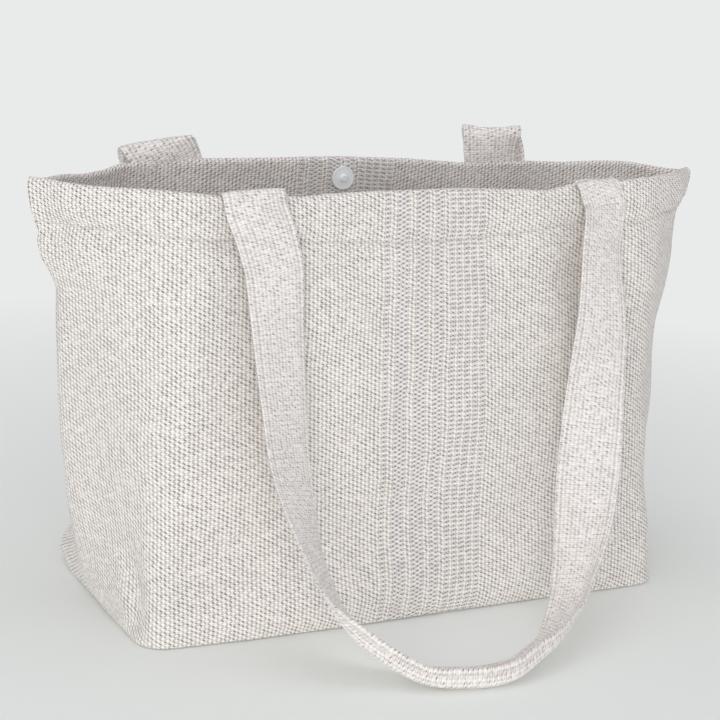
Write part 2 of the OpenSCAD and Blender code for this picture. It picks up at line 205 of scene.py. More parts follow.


# Coarse handwoven cotton, plain weave: weft and warp come up in turn as bright cream grains, with slanted
# pinholes at their corners darkened with painted shade; some warp threads are navy.
def wovenCotton(name, look):
    material, tree = newMaterial(name)
    uv = addNode(tree, "ShaderNodeUVMap", uv_map="weave")
    place = uv
    for scale, size in look["wander"]:
        wander = addNode(tree, "ShaderNodeTexNoise", {"Vector": uv, "Scale": scale, "Detail": 2.0})
        middle = addNode(tree, "ShaderNodeVectorMath", {0: wander.outputs["Color"], 1: (0.5, 0.5, 0.5)},
                         operation="SUBTRACT")
        shift = addNode(tree, "ShaderNodeVectorMath", {0: middle, "Scale": size / 1000}, operation="SCALE")
        place = addNode(tree, "ShaderNodeVectorMath", {0: place, 1: shift}, operation="ADD")
    split = addNode(tree, "ShaderNodeSeparateXYZ", {0: place}).outputs
    sway = addNode(tree, "ShaderNodeTexNoise", {"Vector": uv, "Scale": 28.0, "Detail": 2.0})
    field = {"x": split[0], "y": split[1], "sway": sway}
    reach = look["navyReach"]
    steps = [    # key of the result, operation, and its inputs: keys of earlier results, or numbers
        ("u", "DIVIDE", "x", look["warpSpacing"] / 1000),
        ("v", "DIVIDE", "y", look["pickSpacing"] / 1000),
        ("column", "FLOOR", "u"),
        ("odd", "FLOORED_MODULO", "column", 2.0),
        ("uPart", "SUBTRACT", "u", "column"),
        ("inU", "SUBTRACT", "uPart", 0.5),    # -0.5 to 0.5 across the warp thread
        ("cornerU", "ROUND", "u"),
        ("cornerV", "ROUND", "v"),
        ("fromU", "SUBTRACT", "u", "cornerU"),    # from the nearest corner between four crossings
        ("fromV", "SUBTRACT", "v", "cornerV"),
        ("cornerSum", "ADD", "cornerU", "cornerV"),
        ("cornerOdd", "FLOORED_MODULO", "cornerSum", 2.0),
        ("turn", "MULTIPLY_ADD", "cornerOdd", -2 * look["slant"], look["slant"]),
        ("leaning", "MULTIPLY_ADD", "turn", "fromU", "fromV"),
        ("pitA", "DIVIDE", "fromU", look["pitLength"]),
        ("pitB", "DIVIDE", "leaning", look["pitHeight"]),
        ("pitC", "MULTIPLY", "pitA", "pitA"),
        ("pitD", "MULTIPLY_ADD", "pitB", "pitB", "pitC"),
        ("pitE", "MULTIPLY", "pitD", -1.0),
        ("pit", "EXPONENT", "pitE"),
        ("swayA", "SUBTRACT", "sway", look["swayMiddle"]),
        ("swayB", "MULTIPLY", "swayA", look["sway"]),
        ("vOdd", "ADD", "v", "odd"),
        ("pairs", "MULTIPLY", "vOdd", 0.5),
        ("row", "FLOOR", "pairs"),
        ("pairPart", "SUBTRACT", "pairs", "row"),
        ("inPair", "MULTIPLY_ADD", "pairPart", 2.0, -0.5),    # 0 in the middle of a warp thread's float
        ("dashA", "MULTIPLY_ADD", "swayB", "inU", "inPair"),
        ("dashB", "DIVIDE", "dashA", look["navyHeight"]),
        ("dashC", "DIVIDE", "inU", look["navyWidth"]),
        ("dashD", "MULTIPLY", "dashB", "dashB"),
        ("dashE", "MULTIPLY_ADD", "dashC", "dashC", "dashD"),
        ("dashF", "MULTIPLY", "dashE", -1.0),
        ("dash", "EXPONENT", "dashF"),
        ("slubX", "MULTIPLY", "x", look["slubAlong"]),
        ("slubY", "MULTIPLY", "row", look["slubNext"]),
        ("rampAt", "ADD", "column", reach + 0.5),
        ("rampPlace", "DIVIDE", "rampAt", 2.0 * reach),
        ("ribAngle", "MULTIPLY", "v", math.pi),
        ("ribWave", "COSINE", "ribAngle"),
        ("grainAngle", "MULTIPLY", "ribAngle", 2.0),
        ("grain", "COSINE", "grainAngle"),
    ]
    for key, operation, *given in steps:
        inputs = {i: field.get(value, value) for i, value in enumerate(given)}
        field[key] = addNode(tree, "ShaderNodeMath", inputs, operation=operation)

    cell = addNode(tree, "ShaderNodeCombineXYZ", {0: field["cornerU"], 1: field["cornerV"]})
    field["chance"] = addNode(tree, "ShaderNodeTexWhiteNoise", {"Vector": cell}).outputs["Value"]
    slubAt = addNode(tree, "ShaderNodeCombineXYZ", {0: field["slubX"], 1: field["slubY"]})
    # slubs along the picks, a broad tone over some 60 mm, and fuzz drawn as coarse as 0.7 mm, to show
    noises = (("slub", slubAt, 1.0, 2.0), ("broad", uv, 16.0, 3.0), ("fuzz", uv, 1500.0, 2.0))
    for key, at, scale, detail in noises:
        field[key] = addNode(tree, "ShaderNodeTexNoise", {"Vector": at, "Scale": scale, "Detail": detail})
    field["gap"] = addNode(tree, "ShaderNodeAttribute", attribute_name="stitchGap").outputs["Fac"]
    ramp = addNode(tree, "ShaderNodeValToRGB", {0: field["rampPlace"]})
    ramp.color_ramp.interpolation = "CONSTANT"
    stops = ramp.color_ramp.elements
    stops[0].position, stops[0].color = 0, (0, 0, 0, 1)
    stops.remove(stops[1])
    for first, last in look["navyThreads"]:
        stops.new((first + reach) / (2 * reach)).color = (1, 1, 1, 1)
        stops.new((last + reach + 1) / (2 * reach)).color = (0, 0, 0, 1)
    field["isNavy"] = ramp
    steps = [
        ("unequal", "MULTIPLY_ADD", "chance", -look["pitChance"], look["pitDepth"] + look["pitChance"] / 2),
        ("plain", "MULTIPLY_ADD", "isNavy", -look["navyPit"], 1.0),
        ("pale", "MULTIPLY_ADD", "cornerOdd", -look["secondPit"], 1.0),
        ("depthA", "MULTIPLY", "unequal", "pale"),
        ("depth", "MULTIPLY", "depthA", "plain"),
        ("low", "MULTIPLY_ADD", "grain", look["grain"], look["grain"]),
        ("ribbed", "MULTIPLY_ADD", "ribWave", look["rib"] / 2, look["rib"] / 2),
        # painted shade: the pinholes, the ribs and the grooves between the picks take on the gap colour
        ("shownA", "MULTIPLY_ADD", "pit", "depth", "low"),
        ("shown", "ADD", "shownA", "ribbed"),
        ("navyShown", "MULTIPLY", "dash", "isNavy"),
        ("toneA", "MULTIPLY_ADD", "slub", look["slub"], look["brightness"]),
        ("toneB", "MULTIPLY_ADD", "broad", look["broad"], "toneA"),
        ("toneC", "MULTIPLY_ADD", "chance", look["uneven"], "toneB"),
        ("tone", "SUBTRACT", "toneC", (look["slub"] + look["broad"] + look["uneven"]) / 2),
        # painted shade in the groove along each row of stitches, in the stitchShade colour
        ("gapA", "DIVIDE", "gap", look["stitchReach"] / 1000),
        ("gapB", "MULTIPLY", "gapA", "gapA"),
        ("gapC", "MULTIPLY", "gapB", -1.0),
        ("gapD", "EXPONENT", "gapC"),
        ("stitched", "MULTIPLY", "gapD", look["stitchDark"]),
        ("reliefA", "MULTIPLY", "grain", -look["grainRelief"]),
        ("reliefB", "MULTIPLY_ADD", "pit", -look["pitRelief"], "reliefA"),
        ("relief", "MULTIPLY_ADD", "fuzz", look["fuzzRelief"], "reliefB"),
    ]
    for key, operation, *given in steps:
        inputs = {i: field.get(value, value) for i, value in enumerate(given)}
        field[key] = addNode(tree, "ShaderNodeMath", inputs, operation=operation)

    colour = linear(look["weft"])
    for share, shade in (("shown", "gap"), ("navyShown", "navy"), ("stitched", "stitchShade")):
        colour = addNode(tree, "ShaderNodeMix", {0: field[share], 6: colour, 7: linear(look[shade])},
                         data_type="RGBA").outputs[2]
    toned = addNode(tree, "ShaderNodeVectorMath", {0: colour, "Scale": field["tone"]}, operation="SCALE")
    relief = addNode(tree, "ShaderNodeBump", {
        "Height": field["relief"], "Strength": 1.0, "Distance": look["relief"] / 1000})
    shader = addNode(tree, "ShaderNodeBsdfPrincipled", {
        "Base Color": toned, "Roughness": 0.92, "Normal": relief, "Specular IOR Level": 0.25,
        "Sheen Weight": 0.12, "Sheen Roughness": 0.6})
    addNode(tree, "ShaderNodeOutputMaterial", {"Surface": shader})
    return material


bagCotton = wovenCotton("handwoven cotton, navy warp stripe", bagWeave)
strapCotton = wovenCotton("handwoven cotton, plain", strapWeave)


# Mercerised cotton sewing thread: twisted two-ply, a little glossier than the cloth.
def sewingThread():
    material, tree = newMaterial("cotton sewing thread")
    place = addNode(tree, "ShaderNodeTexCoord").outputs["Object"]
    # bands 0.35 mm apart, the pitch of the twist
    twist = addNode(tree, "ShaderNodeTexWave", {"Vector": place, "Scale": 900.0, "Distortion": 1.5},
                    bands_direction="DIAGONAL").outputs[1]
    # the darker colour lies in the grooves of the twist: painted shade
    colour = addNode(tree, "ShaderNodeMix", {0: twist, 6: linear("#CFC6BE"), 7: linear("#EFE9E2")},
                     data_type="RGBA")
    relief = addNode(tree, "ShaderNodeBump", {"Height": twist, "Strength": 0.5, "Distance": 0.0002})
    shader = addNode(tree, "ShaderNodeBsdfPrincipled", {
        "Base Color": colour.outputs[2], "Roughness": 0.7, "Normal": relief, "Specular IOR Level": 0.4})
    addNode(tree, "ShaderNodeOutputMaterial", {"Surface": shader})
    return material


thread = sewingThread()


# The snap: nickel-plated pressed steel, drawn so dull that it hardly mirrors, its bright, faintly blue
# colour a painted reflection of the sky; and the dark grey sintered ferrite of its magnet, both with fine
# scuffs from closing.
def snapFinish(name, colour, metallic, rough):
    material, tree = newMaterial(name)
    place = addNode(tree, "ShaderNodeTexCoord").outputs["Object"]
    # scuffs half a millimetre wide, coarser than real ones so that they show
    scuffs = addNode(tree, "ShaderNodeTexNoise", {"Vector": place, "Scale": 1800.0, "Detail": 4.0})
    worn = addNode(tree, "ShaderNodeMapRange", {
        "Value": scuffs, "From Min": 0.35, "From Max": 0.7, "To Min": rough, "To Max": rough + 0.18})
    relief = addNode(tree, "ShaderNodeBump", {"Height": scuffs, "Strength": 0.25, "Distance": 0.0001})
    shader = addNode(tree, "ShaderNodeBsdfPrincipled", {
        "Base Color": linear(colour), "Metallic": metallic, "Roughness": worn, "Normal": relief})
    addNode(tree, "ShaderNodeOutputMaterial", {"Surface": shader})
    return material


# the steel's near-white, faintly blue colour is a painted reflection of the sky
steel = snapFinish("nickel-plated steel", "#FAFDFF", 0.05, 0.4)
ferrite = snapFinish("sintered ferrite magnet", "#3C3C40", 0.0, 0.55)
for name in ("socket_cap", "socket_prongs", "front_washer", "stud_plate", "stud_post", "stud_prongs",
             "rear_washer", "socket_magnet"):
    nodes[name].data.materials.clear()
    nodes[name].data.materials.append(ferrite if name == "socket_magnet" else steel)
print("materials made")


# The walls: each half of the bag is one run of cloth from side seam to side seam

bag = {
    "baseWidth": 404, "baseDepth": 194, "cornerRadius": 22, "height": 305,
    "mouthWidth": 532, "mouthDepth": {front: 72, rear: 86}, "rimStraight": 320,
    "belly": 6, "sideFill": 0.72, "cloth": 2.2, "hemDepth": 35, "rimThickness": 6.7, "floorGap": 2.5,
    "baseSlip": (13.5, 2),    # how far the left and right ends of the base have slipped to the left
    "footRadius": 2.6,        # rounding where a wall turns under
    "mouthCorner": 8, "cornerSlope": 0.74,    # rounding of the mouth at the side seams
    "pinch": 0.4,             # depth of the mouth close to the side seams, as a share of an even curve
    "pinchWidth": 0.38, "pinchFrom": 0.7, "pinchRise": 0.25,    # as shares of the side and of the height
    "footBow": [(-1, 6), (-0.7, 9), (-0.3, 9), (0.1, 7), (0.5, 5.5), (0.8, 5), (1, 5)],
    "bowAt": 0.02, "bowHeight": 0.16, "bowFade": 60,    # where the foot bows out, and its fade to the seams
    "rearCorner": 3, "rearCornerWidth": 0.24, "rearCornerHeight": 0.06,    # rear left corner, pulled out
    "dropFrom": 0.72,         # share of the height above which the rim's uneven line tells
    "stitchDent": 1.3, "stitchDentReach": 3.6,    # hem pulled in at its stitches
    "dentGain": 0.9, "gainFrom": 190, "gainReach": 70,    # and more so from there to the side seams
    "hemPuff": 1.0, "puffTop": 292,    # and puffed out above them
    "seamDent": 0.5, "seamDentReach": 2.2,    # side seams pulled in
    "seamKnot": 0.8, "knotHeight": 4, "knotReach": 30,    # and more so where the hem crosses them
    "seamTurn": 0.2,          # how far the cloth still faces front or rear at the side seams
    "waves": 7, "waveDepth": 0.55,       # faint uneven hang of the cloth
    "lowest": 0.3,            # height over the floor of the foot's lowest points
    "rowStep": 3.4, "columnStep": 3.6, "sideLength": 122, "middleLength": 350,
    "footRows": 6, "rimRows": 8, "fineRows": 90,
}
# Height in mm, and how far each side seam stands out there beyond an even curve
seamReach = {
    -1: [(0, 3), (20, 3), (45, -1), (100, -3), (155, -2), (207, -1.5), (231, -2), (242, 2.5), (253, 8),
         (264, 9), (270, 7), (276, 9.5), (284, 10), (294, 9.5), (305, 8)],
    1: [(0, 2), (60, -1), (150, -5), (193, -6), (215, 0), (245, 5), (262, 5), (271, 5), (285, 10), (297, 10),
        (305, 8)],
}
# Place across the bag in mm, and height there of the hem stitching and drop of the rim
hemLine = {
    front: [(-300, 277), (-214, 276), (-150, 272), (-20, 267), (30, 268), (71, 271), (120, 277), (158, 275),
            (207, 280), (300, 278)],
    rear: [(-300, 276), (-150, 271), (0, 269), (150, 271), (300, 276)],
}
rimDrop = {
    front: [(-300, -1), (-255, -1), (-240, 0), (-195, -0.5), (-170, 1.2), (-156, 3.2), (-112, 3.8),
            (-100, 4.6), (-80, 3.2), (-53, 2), (17, 1), (50, 1.8), (73, 2.6), (93, 3.8), (104, 2),
            (113, -0.4), (150, -1.8), (172, -4), (213, -5), (240, -3), (262, -1), (300, 0)],
    rear: [(-300, 1.3), (-255, 1.5), (-232, 4), (-213, 6), (-194, 5), (-180, 1.5), (-160, 0), (-113, -1.6),
           (-50, -1.8), (0, -2), (57, 0.2), (103, 4), (150, 3), (195, 3.5), (225, 0), (240, -1), (256, 1),
           (300, 0)],
}
# Soft dents (negative) and bulges of the cloth: wall, place across, height, half width, half height, turn in
# degrees, depth; lengths in mm
softness = [
    (front, -168, 120, 60, 90, 0, 3.0),
    (front, -60, 150, 50, 110, 0, -2.0),
    (front, 90, 110, 60, 90, 10, 2.5),
    (front, -150, 40, 34, 26, 25, -3.5),
    (front, -196, 32, 16, 30, 0, 3.0),
    (front, 122, 236, 18, 44, 12, -5.0),
    (front, 170, 190, 30, 70, -12, 2.5),
    (front, 60, 40, 90, 26, 0, 2.5),
    (front, -60, 22, 90, 18, 0, 3.0),
    (front, -214, 236, 30, 14, 20, 2.0),
    (front, -226, 256, 30, 6, 16, -1.8),
    (front, 225, 262, 34, 7, -14, -2.8),
    (rear, -90, 140, 70, 90, 0, 3.0),
    (rear, 60, 120, 70, 80, 0, -2.0),
    (rear, 150, 90, 40, 60, 15, 2.5),
    (rear, 40, 290, 60, 12, 0, -1.5),
    (rear, -206, 13, 24, 12, 0, 5.5),
    (front, -192, 90, 26, 80, 0, -4.0),
    (front, -150, 70, 30, 70, 0, 2.0),
    (front, -236, 26, 12, 16, 0, 3.0),
    (front, -222, 30, 12, 26, 12, -4.5),
    (front, 200, 140, 32, 90, 0, -4.0),
    (front, 238, 130, 22, 100, 0, 4.0),
    (front, 232, 250, 24, 46, 0, -3.5),
    (front, -262, 268, 14, 8, 0, 2.0),
    (front, -262, 292, 14, 8, 0, 1.5),
]


def table(pairs, at):
    places, values = zip(*pairs)
    return np.interp(at, places, values)


def outerFace(side, q, v):
    # q runs from -2 at the left seam over -1 and 1 at the corners to 2 at the right seam, and v from 0 at
    # the foot to 1 at the rim
    end = np.where(q < 0, -1, 1)
    f, t = np.clip(q, -1, 1), np.clip(2 - np.abs(q), 0, 1)
    width, depth, corner = bag["baseWidth"] / 2, bag["baseDepth"] / 2, bag["cornerRadius"]
    mouth = bag["mouthDepth"][side]
    belly = bag["belly"] * 27 / 4 * v * (1 - v) ** 2    # widest at a third of the height
    wallX = f * mix(width - corner, bag["rimStraight"] / 2, v)
    wallY = mix(depth, mouth, v) + belly * (1 - f * f)
    flat = depth - corner
    s = t * (flat + corner * math.pi / 2)
    a = np.maximum(0, s - flat) / corner
    baseX = width - np.where(s < flat, 0, corner * (1 - np.cos(a)))
    baseY = np.where(s < flat, s, flat + corner * np.sin(a))
    rimX, rimY = mix(bag["mouthWidth"], bag["rimStraight"], t) / 2, mouth * (1 - (1 - t) ** 2)
    pinch = mix(bag["pinch"], 1, smooth(t / bag["pinchWidth"]))
    rimY = rimY * mix(1, pinch, smooth((v - bag["pinchFrom"]) / bag["pinchRise"]))
    fill = bag["sideFill"] * (1 - (1 - v) ** 4) + (1 - bag["sideFill"]) * v ** 6
    share = mix(fill, v, smooth(t))
    sideX, sideY = mix(baseX, rimX, share), mix(baseY, rimY, v)
    slope = bag["cornerSlope"] * share ** 2
    sideX = sideX - slope * (np.sqrt(sideY ** 2 + bag["mouthCorner"] ** 2) - sideY)
    onSide = np.abs(q) > 1
    x = np.where(onSide, end * sideX, wallX)
    y = np.where(onSide, sideY, wallY)
    z = bag["floorGap"] + (bag["height"] - bag["floorGap"]) * v
    reach = np.where(q < 0, table(seamReach[-1], z), table(seamReach[1], z))
    x = x + end * reach * (1 - smooth(t * 1.15)) * onSide    # less towards the corner
    bow = table(bag["footBow"], f) * hump(v - bag["bowAt"], bag["bowHeight"])
    y = y + bow * smooth(np.abs(y) / bag["bowFade"])
    if side == rear:
        pull = hump(t - 0.5, bag["rearCornerWidth"]) * hump(v, bag["rearCornerHeight"])
        x = x - bag["rearCorner"] * pull * (q < -1)
    x = x - mix(*bag["baseSlip"], (1 + np.clip(q, -1, 1)) / 2) * (1 - v) ** 1.5
    z = z - table(rimDrop[side], x) * smooth((v - bag["dropFrom"]) / (1 - bag["dropFrom"]))
    return np.stack([x, side * y, z], -1)


def wallRows():
    # the way of one thread up the outside, over the rim and down the inside: height as a share, depth below
    # the outside, and how far it goes below the height where the share is 0; then the row on top of the rim
    tall = bag["height"] - bag["floorGap"]
    turn, rim = bag["footRadius"], bag["rimThickness"] / 2
    foot = []
    for a in np.linspace(math.pi / 2, 0, bag["footRows"]):
        lift = turn * (1 - math.sin(a)) - bag["floorGap"] + 0.4
        foot.append((max(0, lift) / tall, turn * (1 - math.cos(a)), min(0, lift)))
    start, stop = foot[-1][0], 1 - rim / tall
    count = int((stop - start) * tall / bag["rowStep"])
    up = [(v, 0, 0) for v in np.linspace(start, stop, count)[1:]]
    over = [(stop + rim * math.sin(a) / tall, rim * (1 - math.cos(a)), 0)
            for a in np.linspace(0, math.pi, bag["rimRows"] + 1)[1:]]
    edge = 1 - bag["hemDepth"] / tall
    facing = [(v, 2 * rim, 0) for v in np.linspace(stop, edge + 3 / tall, 10)[1:]]
    # the folded lower edge of the hem, then the single cloth, tucked in above the base
    step = [(edge + 1.5 / tall, 2 * rim - 0.3, 0), (edge + 0.3 / tall, 2 * rim - 1.3, 0),
            (edge, mix(bag["cloth"], 2 * rim, 0.4), 0), (edge - 0.2 / tall, bag["cloth"] + 0.2, 0)]
    low = 1.4 / tall
    count = int((edge - low) * tall / bag["rowStep"])
    down = [(v, bag["cloth"], 0) for v in np.linspace(edge - 1.5 / tall, low, count)]
    tuck = [(0.4 / tall, bag["cloth"] + 1, 0), (0, bag["footRadius"], 0)]
    return foot + up + over + facing + step + down + tuck, len(foot + up) + len(over) // 2


def wallColumns():
    t = np.linspace(0, 1, int(bag["sideLength"] / bag["columnStep"])) ** 1.25    # closer at the seams
    middle = np.linspace(-1, 1, int(bag["middleLength"] / bag["columnStep"]) | 1)
    return np.concatenate([-2 + t, middle[1:-1], 2 - t[::-1]])


def halfBag(side):
    rows, crest = wallRows()
    q = wallColumns()
    v, depth, low = np.array(rows).T[:, :, None]
    grid = outerFace(side, q[None, :] + 0 * v, v + 0 * q[None, :])
    # the inward direction of each row, from an evenly spaced sheet
    fine = np.linspace(0, 1, bag["fineRows"])[:, None]
    sheet = outerFace(side, q[None, :] + 0 * fine, fine + 0 * q[None, :])
    inward = unit(np.cross(np.gradient(sheet, axis=1), np.gradient(sheet, axis=0))) * side
    inward[:, 0], inward[:, -1] = [[1, 0, 0]], [[-1, 0, 0]]
    at = np.clip(v[:, 0], 0, 1) * (bag["fineRows"] - 1)
    lower = np.minimum(at.astype(int), bag["fineRows"] - 2)
    share = (at - lower)[:, None, None]
    into = unit(mix(inward[lower], inward[lower + 1], share))
    across = along(sheet, 1)
    across = across - across[:, [np.argmin(np.abs(q))]]
    u = mix(across[lower], across[lower + 1], share[..., 0])
    z = grid[..., 2]
    dent = np.zeros_like(z)
    for facing, x, height, halfWide, halfHigh, turn, size in softness:
        if facing == side:
            c, s = math.cos(math.radians(turn)), math.sin(math.radians(turn))
            dx, dz = u - x, z - height
            dent += size * hump(c * dx + s * dz, halfWide) * hump(c * dz - s * dx, halfHigh)
    for k in range(bag["waves"]):    # each wave with its own direction, length in mm and phase
        angle, size = 1.3 * k + side, 60 + 23 * k
        phase = (u * math.cos(angle) + z * math.sin(angle)) * 2 * math.pi / size + 1.7 * k * k
        dent += bag["waveDepth"] * np.sin(phase)
    hem = table(hemLine[side], u)
    gain = 1 + bag["dentGain"] * smooth((np.abs(u) - bag["gainFrom"]) / bag["gainReach"])
    dent -= bag["stitchDent"] * gain * hump(z - hem, bag["stitchDentReach"])
    dent += bag["hemPuff"] * smooth((z - hem - 2) / 8) * (1 - smooth((z - bag["puffTop"]) / 10))
    fromSeam = np.abs(grid[..., 1])
    dent *= smooth((v + 0.004) / 0.03) * smooth((fromSeam + 2) / 24)    # none at the foot and the seams
    dent -= bag["seamDent"] * hump(fromSeam, bag["seamDentReach"])
    dent -= bag["seamKnot"] * hump(z - hem, bag["knotHeight"]) * hump(fromSeam, bag["knotReach"])
    points = grid + into * (depth - dent)[..., None]
    points[..., 2] += low
    points[:, [0, -1], 1] = 0    # the two halves meet at the side seams
    points[..., 2] = np.maximum(points[..., 2], bag["lowest"])
    length = along(points, 0)
    length = length - length[[bag["footRows"] - 1]]    # from the end of the foot's rounding
    uv = np.stack([u, length], -1)
    # normals of the whole run, so that its parts join without a crease
    wrap = np.concatenate([points[-1:], points, points[:1]], 0)
    dv = wrap[2:] - wrap[:-2]
    dq = np.gradient(points, axis=1)
    normals = unit(np.cross(dq, dv)) * -side
    for column in (0, -1):    # the halves share their normals at the side seams
        normals[:, column, 1] *= bag["seamTurn"]
    normals = unit(normals)
    outside = (np.arange(len(v)) < crest)[:, None]
    gap = np.where(outside, points[..., 2] - hem, farFromStitches)
    corners = [int(np.argmin(np.abs(q - end))) for end in handWords]
    ends = ((-1, 0, corners[0]), (1, corners[1], len(q) - 1))    # first and last column of each half side
    return {"points": points, "uv": uv, "normals": normals, "gap": gap, "crest": crest, "side": side,
            "corners": corners, "ends": ends}


def closedPart(run, name, first, last):
    # the columns from first to last of a half, closed at both ends
    points, uv, normals = (run[key][:, first:last + 1] for key in ("points", "uv", "normals"))
    rows, cols = points.shape[:2]
    faces = []
    for i in range(rows):
        k = (i + 1) % rows
        for j in range(cols - 1):
            quad = [i * cols + j, i * cols + j + 1, k * cols + j + 1, k * cols + j]
            faces.append(quad if run["side"] == front else quad[::-1])
    for j, flip in ((0, True), (cols - 1, False)):
        a, b = 0, rows - 1    # rows on the outside and on the inside; the lower one climbs first
        while a + 1 < b:
            climbs = points[a + 1, j, 2] <= points[b - 1, j, 2] and a + 1 <= run["crest"]
            climbs = climbs or b - 1 <= run["crest"]
            triangle = [i * cols + j for i in (a, a + 1 if climbs else b - 1, b)]
            a, b = (a + 1, b) if climbs else (a, b - 1)
            faces.append(triangle if flip == (run["side"] == rear) else triangle[::-1])
    return makeObject(name, points, faces, uv, bagCotton, normals, run["gap"][:, first:last + 1])


halves = {side: halfBag(side) for side in (front, rear)}
for column in (0, -1):    # both halves run along one line at each side seam
    shared = (halves[front]["points"][:, column] + halves[rear]["points"][:, column]) / 2
    halves[front]["points"][:, column] = halves[rear]["points"][:, column] = shared
for side, run in halves.items():
    word = wallWords[side]
    middle = closedPart(run, word + "WallCloth", *run["corners"])
    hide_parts(word + "_panel", word + "_hem")
    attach(middle, word + "_wall")
    for end, first, last in run["ends"]:
        hand = handWords[end]
        piece = closedPart(run, hand + word.capitalize() + "SideCloth", first, last)
        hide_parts(f"{hand}_side_{word}", f"{hand}_hem_end")
        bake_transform(piece)
print("walls and sides made")


# Base cloth and seam allowances

base = {"underside": 0.3, "top": 2.4, "sway": 0.5}
seams = {
    "halfThick": 1.7,    # of the two layers
    "width": {"Seam": 11, "Box": 11.5},
    "sideFrom": 7.5, "sideTo": 268, "sideRows": 70,    # heights between which the side allowances run
    "boxReach": 73, "boxAt": 197.9, "boxHeight": 4.1, "boxRows": 44,
}


def softSlab(name, outline, low, high, sway):
    # a slab of cloth with rounded edges and a slightly uneven top: outline is a list of points in x and y
    centre = outline.mean(0)
    edge = unit(outline - centre)
    thick = high - low
    rings = []
    for a in np.linspace(-math.pi / 2, math.pi / 2, 7):
        inset = thick / 2 * (1 - math.cos(a))
        ring = outline - edge * inset
        rings.append(np.insert(ring, 2, mix(low, high, (1 + math.sin(a)) / 2), axis=1))
    for share in np.linspace(0.96, 0.04, 24):    # the top, towards the middle
        inner = centre + (outline - edge * thick / 2 - centre) * share
        lift = sway * np.sin(inner[:, 0] / 31) * np.cos(inner[:, 1] / 23) * (1 - share ** 4)
        rings.append(np.insert(inner, 2, high + np.maximum(0, lift), axis=1))
    bottom = centre + (outline - edge * thick / 2 - centre) * 0.04    # the middle of the underside
    points = np.concatenate([np.insert(bottom, 2, low, axis=1)] + rings)
    return makeObject(name, points, tubeFaces(len(rings) + 1, len(outline)), points[:, :2], bagCotton)


foot = [run["points"][0, ::3, :2] for run in halves.values()]
outline = np.concatenate([foot[0][:-1], foot[1][:0:-1]])
baseCloth = softSlab("baseCloth", outline, base["underside"], base["top"], base["sway"])
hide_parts("base_panel")
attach(baseCloth, "bag_base")


def allowance(name, path, into, width):
    # raw edges of two layers of cloth: path is a line of points on the seam, and into is the direction in
    # which the allowance stands off it
    into = np.array(into, float)
    flat = unit(np.cross(unit(np.gradient(path, axis=0)), into))
    half = seams["halfThick"]
    section = [(0, half)] + [(width - half + half * math.sin(a), half * math.cos(a) * 0.9)
                             for a in np.linspace(0.1, math.pi - 0.1, 7)] + [(0, -half)]
    rows = []
    for i, p in enumerate(path):    # the free edge is wavy, and wider and narrower in turn
        wave = 0.7 * math.sin(i * 0.47) + 0.5 * math.sin(i * 0.21 + 1)
        rows.append([p + into * a * (1 + 0.04 * math.sin(i * 0.9)) + flat[i] * (b + wave * a / width)
                     for a, b in section])
    points = np.array(rows)
    n, m = points.shape[:2]
    run = along(path[None], 1)[0]
    uvs = np.stack([along(points, 1), np.repeat(run[:, None], m, 1)], -1)
    return makeObject(name, points, tubeFaces(n, m), uvs, bagCotton)


def sidePath(end):    # up the inside of a side seam
    z = np.linspace(seams["sideFrom"], seams["sideTo"], seams["sideRows"])
    v = (z - bag["floorGap"]) / (bag["height"] - bag["floorGap"])
    points = outerFace(rear, np.full(len(v), 2.0 * end), v)
    points[:, 0] -= end * (bag["cloth"] + 0.4)
    points[:, 1] = 0
    return points


def boxPath(end):    # across the base, inside its end
    y = np.linspace(-seams["boxReach"], seams["boxReach"], seams["boxRows"])
    x = np.full(len(y), end * seams["boxAt"] - bag["baseSlip"][0 if end < 0 else 1])
    return np.insert(np.column_stack([x, y]), 2, seams["boxHeight"], axis=1)


for end, hand in handWords.items():
    for kind, path, node in (("Seam", sidePath(end), "_side_seam"), ("Box", boxPath(end), "_box_seam")):
        piece = allowance(hand + kind + "Allowance", path, (-end, 0, 0), seams["width"][kind])
        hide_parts(hand + node)
        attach(piece, "bag_base")
print("base and seams made")


# Straps

strap = {
    "width": 45, "flatLength": {"front": 880, "rear": 943}, "thickness": 3.8,
    "groove": 0.55, "grooveReach": 1.3, "stitchIn": 4.6,    # the dents of its two rows of stitches
    "edgeSharpness": 7,
    "curlUp": 86, "curlDown": 24,    # degrees that its two edges turn where it lies on the floor
    "squareTilt": 0.12,    # from this tilt in radians its width keeps its stated direction; with none it is
                           # square to the strap's run
    "step": 3.5, "around": 27, "curlPoints": 91, "undersideShift": 70,
}
